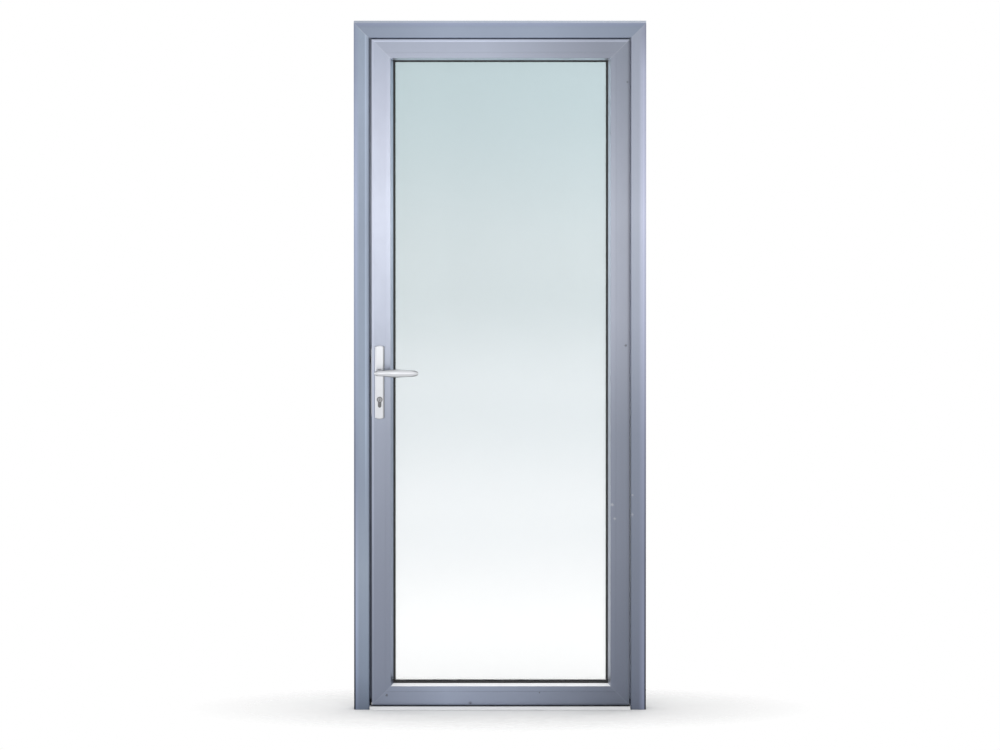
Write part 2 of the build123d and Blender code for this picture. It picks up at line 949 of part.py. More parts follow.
def hinge_leaf_plate(z):
    """Plate on the leaf with the middle knuckle."""
    near = hinge_x - barrel_radius - barrel_clearance
    middle = knuckle_levels(z)[1]
    plate = plate_blank(near - leaf_plate_width, near, leaf_rear, z)
    web = field(near - hinge_plate_corner, hinge_x, leaf_rear + barrel_clearance, hinge_y)
    plate += plan_slab(web, *middle) + rod_z(hinge_x, hinge_y, barrel_radius, *middle)
    bore = hinge_pin_radius + bush_wall + 2 * pin_running_clearance
    plate -= rod_z(hinge_x, hinge_y, bore, middle[0] - overrun, middle[1] + overrun)
    for seat in leaf_hinge_seats(z):
        plate -= seat * screw_hole(screw_length)
    return plate


def hinge_pin(z):
    """Hinge pin with a low domed head on top."""
    bottom = z - hinge_height / 2
    top = z + hinge_height / 2
    pin = rod_z(hinge_x, hinge_y, hinge_pin_radius, bottom, top)
    head = rod_z(hinge_x, hinge_y, pin_head_radius, top, top + pin_head_height)
    head = fillet(head.edges().sort_by(Axis.Z)[-1:], pin_head_height / 2)
    return pin + head


def hinge_bushes(z):
    """Two flanged bushes in the ends of the middle knuckle."""
    lower, upper = knuckle_levels(z)[1]
    bore = hinge_pin_radius + pin_running_clearance
    sleeve = bore + bush_wall
    pieces = []
    for end, way in ((lower, -1), (upper, 1)):
        inside = end - way * bush_length
        outside = end + way * bush_flange
        bush = rod_z(hinge_x, hinge_y, sleeve, min(inside, end), max(inside, end))
        bush += rod_z(
            hinge_x, hinge_y, sleeve + bush_flange_width, min(end, outside), max(end, outside)
        )
        low = min(inside, outside) - overrun
        pieces.append(bush - rod_z(hinge_x, hinge_y, bore, low, low + hinge_height))
    return pieces


# Handle
def plate_outline(inset):
    """Outline of a backplate in X and Z, with arched ends."""
    half = plate_width / 2 - inset
    top = handle_height + plate_above - inset
    bottom = handle_height - plate_below + inset
    left = handle_x - half
    right = handle_x + half
    outline = [
        Line((left, bottom + plate_arch), (left, top - plate_arch)),
        ThreePointArc((left, top - plate_arch), (handle_x, top), (right, top - plate_arch)),
        Line((right, top - plate_arch), (right, bottom + plate_arch)),
        ThreePointArc((right, bottom + plate_arch), (handle_x, bottom), (left, bottom + plate_arch)),
    ]
    return make_face(Curve() + outline)


def backplate():
    """Front backplate: a hollow shell with bosses for the lever and the two screws."""
    plate = front_slab(plate_outline(0), plate_front, leaf_front)
    plate = fillet(plate.faces().sort_by(Axis.Y)[0].edges(), plate_edge_round)
    shell_front = plate_front + plate_wall
    plate -= front_slab(plate_outline(plate_wall), shell_front, leaf_front + overrun)
    plate += rod_y(handle_x, handle_height, collar_radius + plate_wall, shell_front, leaf_front)
    for x, z in handle_screw_points():
        plate += rod_y(x, z, plate_boss_radius, shell_front, leaf_front)
    bore = collar_radius + pin_running_clearance
    plate -= rod_y(handle_x, handle_height, bore, plate_front - overrun, leaf_front + overrun)
    return plate - front_slab(
        euro_face(cylinder_clearance), plate_front - overrun, leaf_front + overrun
    )


def front_backplate():
    """Backplate with blind screw holes in its bosses."""
    plate = backplate()
    bore = handle_screw_radius + pin_running_clearance
    for x, z in handle_screw_points():
        plate -= rod_y(x, z, bore, plate_front + plate_wall, leaf_front + overrun)
    return plate


def handle_screw_seats():
    """Seats of the handle screws in the rear backplate."""
    return seats([(x, plate_rear, z) for x, z in handle_screw_points()], (0, 1, 0))


def rear_backplate():
    """Backplate with countersunk screw holes."""
    plate = to_rear(backplate())
    for seat in handle_screw_seats():
        plate -= seat * screw_hole(screw_length)
    return plate


def handle_screws():
    """Two long screws from the rear backplate into the front one."""
    length = plate_rear - plate_front - 2 * plate_wall
    return [seat * screw(length) for seat in handle_screw_seats()]


def lever_neck():
    """Turned neck of the front lever, from its collar in the backplate out to the grip."""
    collar = plate_thickness - collar_end_gap
    outline = [
        Line((0, -collar), (collar_radius, -collar)),
        Line((collar_radius, -collar), (collar_radius, collar_proud)),
        Spline(
            (collar_radius, collar_proud),
            (neck_radius, collar_proud + neck_flare),
            tangents=[(0, 1), (0, 1)],
        ),
        Line((neck_radius, collar_proud + neck_flare), (neck_radius, neck_length)),
        Line((neck_radius, neck_length), (0, neck_length)),
        Line((0, neck_length), (0, -collar)),
    ]
    plane = Plane((handle_x, plate_front, handle_height), (1, 0, 0), (0, 0, -1))
    axis = Axis((handle_x, 0, handle_height), (0, 1, 0))
    return revolve(plane * make_face(Curve() + outline), axis)


def lever_grip():
    """Spindle-shaped grip, widest past its middle, lofted through oval sections."""
    length = lever_tail + lever_reach
    centre_y = plate_front - neck_length
    ovals = []
    for place, size in zip(grip_station_shares, grip_size_shares):
        x = handle_x - lever_tail + place * length
        plane = Plane((x, centre_y, handle_height), (0, 1, 0), (1, 0, 0))
        ovals.append(plane * Ellipse(size * grip_depth / 2, size * grip_height / 2))
    return loft(ovals)


def grub_place():
    """Middle of the grub screw along Y."""
    return plate_front - collar_proud - neck_flare - grub_radius


def lever():
    """Front lever with a square socket for the spindle and a grub-screw hole from below."""
    piece = lever_neck() + lever_grip()
    socket = spindle_size + 2 * spindle_clearance
    square = Pos(handle_x, handle_height) * Rectangle(socket, socket)
    piece -= front_slab(square, plate_front - spindle_engagement, leaf_front + overrun)
    bore = grub_radius + pin_running_clearance
    return piece - rod_z(
        handle_x, grub_place(), bore, handle_height - neck_radius - overrun, handle_height
    )


def grub_screw():
    """Headless screw that holds the front lever on the spindle."""
    top = handle_height - spindle_size / 2 - spindle_clearance
    piece = rod_z(handle_x, grub_place(), grub_radius, top - grub_length, top)
    socket = Plane((handle_x, grub_place(), top - grub_length)) * RegularPolygon(screw_socket_radius, 6)
    return piece - extrude(socket, amount=screw_socket_depth)


def spindle():
    """Square bar through the follower, from lever to lever."""
    square = Pos(handle_x, handle_height) * Rectangle(spindle_size, spindle_size)
    reach = spindle_engagement - pin_head_height
    return front_slab(square, plate_front - reach, plate_rear + reach)


# Lock
def lock_case():
    """Closed steel box with openings for the bolts, the follower, the cylinder and its screw."""
    half = case_thickness / 2
    low = handle_height - case_below
    high = handle_height + case_above
    left = leaf_rect.left
    case = block(left, left + case_depth, lock_plane - half, lock_plane + half, low, high)
    case -= block(
        left + case_wall,
        left + case_depth - case_wall,
        lock_plane - half + case_wall,
        lock_plane + half - case_wall,
        low + case_wall,
        high - case_wall,
    )
    for window in bolt_openings(bolt_clearance):
        case -= edge_slab(window, left - overrun, left + overrun)
    y0 = lock_plane - half - overrun
    y1 = lock_plane + half + overrun
    case -= rod_y(handle_x, handle_height, follower_journal + pin_running_clearance, y0, y1)
    case -= front_slab(euro_face(cylinder_clearance), y0, y1)
    return case - cylinder_screw_seat() * screw_hole(handle_backset)


def forend():
    """Strip on the edge of the stile that the bolts come through."""
    tall = forend_above + forend_below
    middle = handle_height + (forend_above - forend_below) / 2
    face = Pos(lock_plane, middle) * SlotOverall(tall, forend_width, rotation=90)
    for window in bolt_openings(bolt_clearance):
        face -= window
    strip = edge_slab(face, leaf_rect.left - forend_thickness, leaf_rect.left)
    for seat in forend_seats():
        strip -= seat * screw_hole(screw_length)
    return strip - cylinder_screw_seat() * screw_hole(handle_backset)


def latch_bolt():
    """Sprung bolt with a sloped face to the front, a flat tail and the lug that the follower pushes."""
    tip = leaf_rect.left - forend_thickness - latch_projection
    half = latch_thickness / 2
    slope_end = tip + latch_projection
    head_end = tip + latch_head_length
    head_plan = polygon(
        [
            (head_end, lock_plane - half),
            (slope_end, lock_plane - half),
            (tip, lock_plane + half - latch_tip_flat),
            (tip, lock_plane + half),
            (head_end, lock_plane + half),
        ]
    )
    bolt = plan_slab(head_plan, latch_z - latch_height / 2, latch_z + latch_height / 2)
    lug_right = handle_x + latch_lug_offset
    thin = latch_tail_thickness / 2
    tail_low = latch_z - latch_tail_height / 2
    tail_high = latch_z + latch_height / 2
    bolt += block(
        head_end, lug_right, lock_plane - thin, lock_plane + thin, tail_low, tail_high
    )
    return bolt + block(
        lug_right - latch_lug_width,
        lug_right,
        lock_plane - thin,
        lock_plane + thin,
        tail_low - latch_lug_drop,
        tail_low,
    )


def dead_bolt():
    """Square bolt, drawn back level with the forend, with a leg towards the cylinder."""
    tip = leaf_rect.left - forend_thickness
    half = dead_bolt_height / 2
    low = dead_bolt_z - half
    face = Pos(lock_plane, dead_bolt_z) * Rectangle(dead_bolt_thickness, dead_bolt_height)
    bolt = edge_slab(face, tip, tip + dead_bolt_length)
    bolt = chamfer(bolt.faces().sort_by(Axis.X)[0].edges(), dead_bolt_bevel)
    thin = latch_tail_thickness / 2
    right = tip + dead_bolt_length
    return bolt + block(
        right - dead_bolt_leg,
        right,
        lock_plane - thin,
        lock_plane + thin,
        low - dead_bolt_leg_drop,
        low,
    )


def follower():
    """Hub on the spindle with two journals in the case and an arm that draws the latch back."""
    half = case_thickness / 2
    side = half - case_wall - follower_side_gap
    thin = latch_tail_thickness / 2
    hub = rod_y(handle_x, handle_height, follower_radius, lock_plane - side, lock_plane + side)
    hub += rod_y(handle_x, handle_height, follower_journal, lock_plane - half, lock_plane + half)
    lean = Rot(0, 0, follower_arm_lean)
    arm_face = lean * field(-follower_arm_width / 2, follower_arm_width / 2, 0, follower_arm)
    arm_face = Pos(handle_x, handle_height) * arm_face
    hub += front_slab(arm_face, lock_plane - thin, lock_plane + thin)
    socket = spindle_size + 2 * spindle_clearance
    square = Pos(handle_x, handle_height) * Rectangle(socket, socket)
    return hub - front_slab(square, lock_plane - half - overrun, lock_plane + half + overrun)


# Profile cylinder
def cylinder_body():
    """Body of the cylinder with its bore, the gap for the cam and the hole for its screw."""
    y0 = plate_front - cylinder_proud
    y1 = plate_rear + cylinder_proud
    body = front_slab(euro_face(0), y0, y1)
    body -= rod_y(handle_x, cylinder_z, plug_radius + plug_clearance, y0 - overrun, y1 + overrun)
    gap = cam_width / 2 + cam_clearance
    wide = cylinder_radius + overrun
    body -= block(
        handle_x - wide,
        handle_x + wide,
        lock_plane - gap,
        lock_plane + gap,
        cylinder_z - cam_reach - cam_clearance,
        cylinder_z + wide,
    )
    return body - cylinder_screw_seat() * screw_hole(handle_backset)


def plug(y0, y1, face):
    """One half of the turning plug with its keyway, open at the outer face."""
    piece = rod_y(handle_x, cylinder_z, plug_radius, y0, y1)
    slot = Pos(handle_x, cylinder_z) * Rectangle(keyway_width, keyway_height)
    inner = face + keyway_depth if face == y0 else face - keyway_depth
    return piece - front_slab(slot, min(face, inner), max(face, inner))


def front_plug():
    """Plug half on the front."""
    face = plate_front - cylinder_proud
    return plug(face, lock_plane - cam_width / 2, face)


def rear_plug():
    """Plug half on the rear."""
    face = plate_rear + cylinder_proud
    return plug(lock_plane + cam_width / 2, face, face)


def cam():
    """Disc between the plugs with a finger that points down at rest."""
    face = Circle(cam_radius) + field(-cam_finger / 2, cam_finger / 2, -cam_reach, 0)
    face &= Circle(cam_reach)
    half = cam_width / 2
    return front_slab(Pos(handle_x, cylinder_z) * face, lock_plane - half, lock_plane + half)


def cylinder_screw():
    """Long screw from the forend into the cylinder."""
    return cylinder_screw_seat() * screw(handle_backset)


# All pieces by node name
def hinge_nodes():
    """Nodes of the three hinges, and their screws in two groups."""
    nodes = {}
    frame_screws = []
    leaf_screws = []
    for name, z in hinge_centres().items():
        nodes[f"{name}_hinge_frame_plate"] = hinge_frame_plate(z)
        nodes[f"{name}_hinge_leaf_plate"] = hinge_leaf_plate(z)
        nodes[f"{name}_hinge_pin"] = hinge_pin(z)
        nodes[f"{name}_hinge_bushes"] = hinge_bushes(z)
        frame_screws += [seat * screw(screw_length) for seat in frame_hinge_seats(z)]
        leaf_screws += [seat * screw(screw_length) for seat in leaf_hinge_seats(z)]
    nodes["hinge_frame_screws"] = frame_screws
    nodes["hinge_leaf_screws"] = leaf_screws
    return nodes


def frame_nodes():
    """Nodes of the fixed frame."""
    return {
        "lock_jamb": lock_jamb(),
        "hinge_jamb": hinge_jamb(),
        "head": head(),
        "threshold": threshold(),
        "threshold_pads": threshold_pads(),
        "frame_cleats": frame_cleats(),
        "strike_plate": strike_plate(),
        "strike_screws": [seat * screw(screw_length) for seat in strike_seats()],
    }


def leaf_nodes():
    """Nodes of the leaf bars, the glazing and the seals."""
    names = {"left": "lock_side", "top": "top", "right": "hinge_side", "bottom": "bottom"}
    nodes = {
        "lock_stile": lock_stile(),
        "hinge_stile": hinge_stile(),
        "top_rail": leaf_bar("top"),
        "bottom_rail": leaf_bar("bottom"),
        "leaf_cleats": leaf_cleats(),
        "front_pane": pane(glass_front),
        "rear_pane": pane(glass_gap_rear),
        "spacer": spacer(),
        "edge_seal": edge_seal(),
        "front_gasket": glazing_gasket(bead_back, glass_front, gasket_lip_rise),
        "rear_gasket": glazing_gasket(pocket_front, glass_rear, gasket_lip_rise),
        "setting_blocks": glass_blocks(["bottom"]),
        "location_blocks": glass_blocks(["left", "top", "right"]),
        "leaf_seal": leaf_seal(),
        "bottom_brush": bottom_brush(),
    }
    for side in SIDES:
        nodes[f"{names[side]}_bead"] = bead(side)
    return nodes


def lock_nodes():
    """Nodes of the lock, the cylinder and the handle."""
    return {
        "lock_case": lock_case(),
        "forend": forend(),
        "forend_screws": [seat * screw(screw_length) for seat in forend_seats()],
        "latch_bolt": latch_bolt(),
        "dead_bolt": dead_bolt(),
        "follower": follower(),
        "cylinder_body": cylinder_body(),
        "cylinder_screw": cylinder_screw(),
        "front_plug": front_plug(),
        "rear_plug": rear_plug(),
        "cam": cam(),
        "front_backplate": front_backplate(),
        "rear_backplate": rear_backplate(),
        "handle_screws": handle_screws(),
        "front_lever": lever(),
        "rear_lever": to_rear(lever()),
        "spindle": spindle(),
        "grub_screws": [grub_screw(), to_rear(grub_screw())],
    }


def main():
    """Writes one file for each node."""
    os.makedirs("parts", exist_ok=True)
    nodes = {**frame_nodes(), **leaf_nodes(), **hinge_nodes(), **lock_nodes()}
    for name, shape in nodes.items():
        solids = shape if isinstance(shape, list) else [shape]
        pieces = [solid for item in solids for solid in item.solids()]
        whole = pieces[0] if len(pieces) == 1 else Compound(children=pieces)
        whole.label = name
        export_step(whole, f"parts/{name}.step")


main()
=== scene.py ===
import math

import bpy
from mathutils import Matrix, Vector

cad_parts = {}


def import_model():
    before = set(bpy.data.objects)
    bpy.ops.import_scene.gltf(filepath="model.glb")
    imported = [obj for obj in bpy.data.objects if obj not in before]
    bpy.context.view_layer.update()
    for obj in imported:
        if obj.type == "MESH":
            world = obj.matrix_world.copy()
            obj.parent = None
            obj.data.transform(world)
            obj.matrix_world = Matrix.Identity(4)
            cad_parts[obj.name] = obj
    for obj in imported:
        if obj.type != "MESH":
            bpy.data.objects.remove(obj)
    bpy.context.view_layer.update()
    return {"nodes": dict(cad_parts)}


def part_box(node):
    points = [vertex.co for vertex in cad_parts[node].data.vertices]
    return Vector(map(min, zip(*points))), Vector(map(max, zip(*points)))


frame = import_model()
nodes = frame["nodes"]
scene = bpy.context.scene

# Faces and edges read from the CAD pieces, in metres
FRAME_LEFT, FACE_PLANE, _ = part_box("lock_jamb")[0]
FRAME_RIGHT, _, FRAME_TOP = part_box("hinge_jamb")[1]
LEAF_LEFT, _, LEAF_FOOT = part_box("bottom_rail")[0]
LEAF_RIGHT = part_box("bottom_rail")[1][0]
FIN_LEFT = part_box("lock_stile")[0][0]
_, FIN_REAR, FIN_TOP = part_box("top_rail")[1]
GRIP_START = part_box("front_lever")[0][0]
GRIP_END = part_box("front_lever")[1][0]
PLATE_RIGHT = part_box("front_backplate")[1][0]
SPINDLE_HEIGHT = (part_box("spindle")[0][2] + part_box("spindle")[1][2]) / 2
FIN_THICKNESS = 0.003
FIN_FRONT = FIN_REAR - FIN_THICKNESS
LEAF_TOP = FIN_TOP - (LEAF_LEFT - FIN_LEFT)

# Front faces as rectangles: left, right, bottom, top. The frame has no lower corners
FAR_BELOW = -5.0
FRAME_BOX = (FRAME_LEFT, FRAME_RIGHT, FAR_BELOW, FRAME_TOP)
LEAF_BOX = (LEAF_LEFT, LEAF_RIGHT, LEAF_FOOT, LEAF_TOP)

# Depths behind a front plane that still count as front, and the softness of that step, in metres
FRONT_DEPTH = 0.005
BEAD_FACE_DEPTH = 0.0015
FIN_DEPTH = 0.0008
STEP_SOFTNESS = 0.0005

# Colours, linear
ALUMINIUM = (0.405, 0.43, 0.505)
HEAD_METAL = (0.40, 0.45, 0.55)
# The lock jamb is painted darker, and the hinge jamb and lock stile lighter, than the same aluminium:
# painted shade and painted light
LOCK_JAMB_SHADED_METAL = (0.315, 0.365, 0.45)
HINGE_JAMB_LIT_METAL = (0.50, 0.538, 0.635)
LOCK_STILE_LIT_METAL = (0.478, 0.507, 0.596)
# The threshold is painted nearly white, as a painted highlight for the light it catches from above
THRESHOLD_LIT_METAL = (0.93, 0.94, 0.97)
HANDLE_METAL = (0.64, 0.65, 0.68)
# Bead noses: the hinge and top noses painted darker as shade, the bottom nose painted nearly white as a
# highlight
HINGE_BEVEL_PAINTED_SHADE = (0.36, 0.38, 0.43)
TOP_BEVEL_PAINTED_SHADE = (0.70, 0.73, 0.80)
BOTTOM_BEVEL_PAINTED_HIGHLIGHT = (0.97, 0.98, 1.0)
RIM_REFLECTION_TINT = (1.0, 0.98, 1.04, 1.0)
DUST = (0.42, 0.43, 0.44)
JOINT = (0.80, 0.82, 0.86)
SCUFF = (0.62, 0.64, 0.68)
MARK = (0.10, 0.10, 0.11)
WHITE = (1.0, 1.0, 1.0)

# Roughness of the film, and the strength of dust, joints, scuffs and marks in it
FRAME_ROUGHNESS = 0.46
LEAF_ROUGHNESS = 0.36
BEAD_ROUGHNESS = 0.34
THRESHOLD_ROUGHNESS = 0.42
DUST_STRENGTH = 0.22
JOINT_STRENGTH = 0.30
SCUFF_STRENGTH = 0.35
MARK_STRENGTH = 0.75

# Metallic level of the threshold and of the lower bead's nose, which are painted nearly white as
# highlights
DULL_METALLIC = 0.1

# Fine relief of metal and glass, in metres
FINE_RELIEF = 0.00002

# Noise scales by the run of an extrusion, for drawn lines and a slow drift, and their shares of the tone
LINE_STRETCH = {"x": (2.0, 1300.0, 1300.0), "z": (1300.0, 1300.0, 2.0)}
DRIFT_STRETCH = {"x": (0.7, 1.0, 1.0), "z": (1.0, 1.0, 0.7)}
LINE_SHARE = 0.45
DRIFT_SHARE = 0.55

# Share of the frame's height, and the level of painted light and shade on the anodic film there, darker
# towards the foot; the even tone is nearly flat
LOCK_STILE_PAINTED_LIGHT = (
    (0.0, (0.455, 0.48, 0.525)),
    (0.17, (0.522, 0.54, 0.577)),
    (0.40, (0.644, 0.662, 0.69)),
    (0.57, (0.875, 0.884, 0.894)),
    (0.72, WHITE),
    (0.83, (0.88, 0.88, 0.89)),
    (0.98, (0.71, 0.73, 0.757)),
)
HINGE_STILE_PAINTED_LIGHT = (
    (0.0, (0.43, 0.455, 0.50)),
    (0.22, (0.63, 0.65, 0.69)),
    (0.40, (0.70, 0.72, 0.75)),
    (0.57, (0.96, 0.96, 0.97)),
    (0.72, WHITE),
    (0.95, (0.72, 0.74, 0.765)),
)
LEAF_PAINTED_LIGHT = (
    (0.0, (0.50, 0.53, 0.58)),
    (0.17, (0.57, 0.59, 0.63)),
    (0.40, (0.72, 0.74, 0.77)),
    (0.57, (0.93, 0.94, 0.95)),
    (0.70, WHITE),
    (0.83, (0.92, 0.92, 0.93)),
    (0.98, (0.80, 0.82, 0.85)),
)
LOCK_JAMB_PAINTED_LIGHT = (
    (0.0, (0.52, 0.54, 0.58)),
    (0.05, (0.74, 0.76, 0.80)),
    (0.20, (0.98, 0.98, 0.98)),
    (0.33, (0.86, 0.86, 0.88)),
    (0.45, (0.93, 0.94, 0.95)),
    (0.70, (0.84, 0.84, 0.85)),
    (0.88, (0.97, 0.97, 0.98)),
    (0.98, (0.90, 0.91, 0.92)),
)
HINGE_JAMB_PAINTED_LIGHT = (
    (0.0, (0.38, 0.40, 0.447)),
    (0.17, (0.495, 0.515, 0.556)),
    (0.40, (0.59, 0.61, 0.65)),
    (0.57, (0.86, 0.87, 0.89)),
    (0.72, WHITE),
    (0.98, (0.78, 0.79, 0.81)),
)
EVEN_TONE = (
    (0.0, (0.97, 0.97, 0.97)),
    (1.0, WHITE),
)

# Share of the way from lock side to hinge side, and the level of painted light and shade across the film
# there
SIDE_REACH = 0.45
EVEN_SIDES = ((0.0, 1.0), (1.0, 1.0))
FALLING_SIDES = ((0.0, 1.0), (0.39, 1.0), (0.97, 0.80))
HINGE_STILE_SIDES = ((0.0, 1.0), (0.872, 0.90), (0.939, 0.76))
HEAD_SIDES = ((0.04, 0.78), (0.33, 0.94), (0.65, 0.93), (0.97, 0.76))
TOP_RAIL_SIDES = ((0.11, 0.97), (0.45, 1.08), (0.85, 0.75))
BOTTOM_RAIL_SIDES = ((0.09, 1.14), (0.32, 1.62), (0.57, 1.32), (0.90, 0.74))

# Share of the frame's height, and the level of the painted reflection on the outer rim of the frame
# against its face there
LOCK_RIM_HIGHLIGHT = ((0.02, 1.18), (0.12, 1.36), (0.38, 0.95), (0.73, 1.50), (0.92, 1.0))
HINGE_RIM_HIGHLIGHT = ((0.02, 1.58), (0.22, 1.20), (0.72, 1.48), (0.93, 1.35), (0.985, 1.0))
HEAD_RIM_HIGHLIGHT = ((0.0, 1.0), (1.0, 1.06))
# The same for the painted shade on the sharp outer corner of the frame
ARRIS_PAINTED_SHADE = ((0.02, 0.15), (0.12, 0.30), (0.45, 0.75), (0.80, 0.85))
# The same for the front of the overlap fin, which shows in the gap round the leaf: painted shade on the
# lock side and painted light on the hinge side
LOCK_FIN_PAINTED_SHADE = ((0.0, 0.5), (1.0, 0.5))
HINGE_FIN_PAINTED_LIGHT = ((0.0, 5.4), (0.38, 4.3), (0.60, 2.0))
# The same for the painted light on the sloped nose of the upright beads, lighter higher up
LOCK_SLOPE_PAINTED_LIGHT = ((0.0, 1.1), (0.40, 1.05), (0.57, 1.3), (0.72, 1.5), (0.95, 1.4))
HINGE_SLOPE_PAINTED_LIGHT = ((0.0, 1.05), (0.40, 1.1), (0.57, 1.5), (0.72, 1.75), (0.95, 1.35))

# Share of the rim's width at which its tint is full
RIM_FULL_SHARE = 0.35
# Widths of the rim, and where arris, fin and mitre hairline fade, in metres
LOCK_RIM_WIDTH = 0.0165
HINGE_RIM_WIDTH = 0.0225
HEAD_RIM_WIDTH = 0.0135
ARRIS_START = 0.006
ARRIS_FULL = 0.0035
FIN_MARGIN = (0.0003, 0.0008)
MITRE_WIDTH = (0.0004, 0.0013)

# Painted highlight stripes on a front face, where rounded edges catch the light: left and right, bottom
# and top, fade at the ends, level
LOCK_JAMB_PAINTED_HIGHLIGHT = ((-0.4085, -0.4045), (0.85, 2.1), 0.30, 1.25)
TOP_RAIL_PAINTED_HIGHLIGHT = ((-0.4, 0.4), (2.043, 2.051), 0.001, 1.5)

# Small marks and scuffs on the front faces: across, height and radius in metres
STILE_MARKS = ((0.386, 1.920, 0.004), (0.381, 1.115, 0.005))
STILE_SCUFFS = ((0.340, 0.628, 0.006), (0.348, 0.585, 0.005))
JAMB_SCUFFS = ((0.4015, 0.6575, 0.004), (0.401, 0.5975, 0.005))
RAIL_MARKS = ((-0.343, 0.044, 0.005), (-0.090, 0.020, 0.006), (0.120, 0.052, 0.003))
# Shares of a spot's radius: its full core, and how far its edge wavers
SPOT_CORE_SHARE = 0.35
SPOT_WOBBLE_SHARE = 0.9

# Share of the grip's length, and half its height there in metres
GRIP_HALF_HEIGHT = ((0.0, 0.003), (0.09, 0.008), (0.58, 0.0118), (0.84, 0.0101), (1.0, 0.003))
# Shares of that half height between which the grip's edge is painted grey as shade
GRIP_SHADE_SHARES = (0.68, 0.95)
# The same for the backplate, as distances from its edge in metres
PLATE_EDGE_START = 0.006
PLATE_EDGE_FULL = 0.002

# Share of the tint's height above the floor, and the colour that white turns through the glass: a graded
# tint deeper towards the top, painted in for a reflected sky gradient
REFLECTION_TINT_HEIGHT = 2.0
GLASS_PAINTED_REFLECTION = (
    (0.105, (0.975, 0.98, 0.98)),
    (0.29, (0.845, 0.872, 0.887)),
    (0.47, (0.73, 0.775, 0.795)),
    (0.65, (0.598, 0.66, 0.678)),
    (0.98, (0.465, 0.557, 0.582)),
)
GLASS_SHINE = (0.95, 0.97, 0.98)
SHEEN_POWER = 5.0
SHEEN_HEAD_ON = 0.003
SATIN_GLASS = (0.985, 0.99, 0.99)
SATIN_INDEX = 1.3

# Sockets of the Mix node when it mixes colours
MIX_SHARE, MIX_FIRST, MIX_SECOND, MIX_RESULT = 0, 6, 7, 2


# Material building blocks
def new_material(name):
    """An empty node material and its shader."""
    material = bpy.data.materials.new(name)
    material.use_nodes = True
    tree = material.node_tree
    return material, tree, tree.nodes["Principled BSDF"]


def put(tree, kind, inputs=None, **settings):
    """One node with its settings, and each input a value or another node's output."""
    made = tree.nodes.new(kind)
    for key, value in settings.items():
        setattr(made, key, value)
    for key, value in (inputs or {}).items():
        if isinstance(value, bpy.types.NodeSocket):
            tree.links.new(value, made.inputs[key])
        else:
            made.inputs[key].default_value = value
    return made


def place(tree):
    """Coordinates that stay with the piece, in metres."""
    return put(tree, "ShaderNodeTexCoord").outputs["Object"]


def coordinate(tree, axis):
    """One of the coordinates that stay with the piece."""
    return put(tree, "ShaderNodeSeparateXYZ", {"Vector": place(tree)}).outputs[axis]


def noise(tree, scale, detail, stretch=(1.0, 1.0, 1.0), roughness=0.5):
    """Noise in metres, stretched along the axes."""
    spread = put(tree, "ShaderNodeMapping", {"Vector": place(tree), "Scale": stretch})
    inputs = {"Vector": spread.outputs[0], "Scale": scale, "Detail": detail, "Roughness": roughness}
    return put(tree, "ShaderNodeTexNoise", inputs).outputs[0]


def between(tree, value, low, high, start=0.0, end=1.0):
    """A value taken from the range start to end to the range low to high."""
    inputs = {"Value": value, "From Min": start, "From Max": end, "To Min": low, "To Max": high}
    return put(tree, "ShaderNodeMapRange", inputs).outputs[0]


def combine(tree, operation, first, second=0.0):
    """The result of one operation on one or two values."""
    return put(tree, "ShaderNodeMath", {0: first, 1: second}, operation=operation).outputs[0]


def blend(tree, share, first, second):
    """A colour between two colours."""
    inputs = {MIX_SHARE: share, MIX_FIRST: first, MIX_SECOND: second}
    return put(tree, "ShaderNodeMix", inputs, data_type="RGBA").outputs[MIX_RESULT]


def times(tree, first, second):
    """Two colours multiplied."""
    inputs = {MIX_SHARE: 1.0, MIX_FIRST: first, MIX_SECOND: second}
    made = put(tree, "ShaderNodeMix", inputs, data_type="RGBA", blend_type="MULTIPLY")
    return made.outputs[MIX_RESULT]


def tinted(tree, mask, paint, tint):
    """A paint multiplied by a tint where the mask is one."""
    return blend(tree, mask, paint, times(tree, paint, tint))


def shade(colour, share=1.0):
    """A colour made lighter or darker, with its alpha."""
    return tuple(min(1.0, c * share) for c in colour) + (1.0,)


def grey(level):
    """A grey colour that may be lighter than white, with its alpha."""
    return (level, level, level, 1.0)


def bump(tree, shader, height, distance, strength):
    """Surface relief from a height in the range 0 to 1."""
    inputs = {"Height": height, "Distance": distance, "Strength": strength}
    relief = put(tree, "ShaderNodeBump", inputs)
    tree.links.new(relief.outputs[0], shader.inputs["Normal"])


def ramp(tree, share, stops_at):
    """A colour ramp with the given stops."""
    made = put(tree, "ShaderNodeValToRGB", {"Fac": share})
    stops = made.color_ramp.elements
    stops[0].position, stops[1].position = stops_at[0][0], stops_at[-1][0]
    for position, _ in stops_at[1:-1]:
        stops.new(position)
    for stop, (_, colour) in zip(stops, stops_at):
        stop.color = tuple(colour) + (1.0,)
    return made


def level_at(tree, axis, low, high, levels):
    """A grey level read from a short list of shares and levels along one axis."""
    share = between(tree, coordinate(tree, axis), 0.0, 1.0, low, high)
    peak = max(level for _, level in levels)
    stops = [(at, (level / peak,) * 3) for at, level in levels]
    return times(tree, ramp(tree, share, stops).outputs[0], grey(peak))


def level_up(tree, levels):
    """A grey level read from a short list of shares and levels up the frame's height."""
    return level_at(tree, "Z", 0.0, FRAME_TOP, levels)


# Distances and masks
def before(tree, plane):
    """One in front of an upright plane and zero behind it."""
    return between(tree, coordinate(tree, "Y"), 1.0, 0.0, plane - STEP_SOFTNESS, plane)


def band(tree, axis, low, high, soft=0.001):
    """One between two places on an axis and zero outside them."""
    value = coordinate(tree, axis)
    start = between(tree, value, 0.0, 1.0, low - soft, low)
    return combine(tree, "MULTIPLY", start, between(tree, value, 1.0, 0.0, high, high + soft))


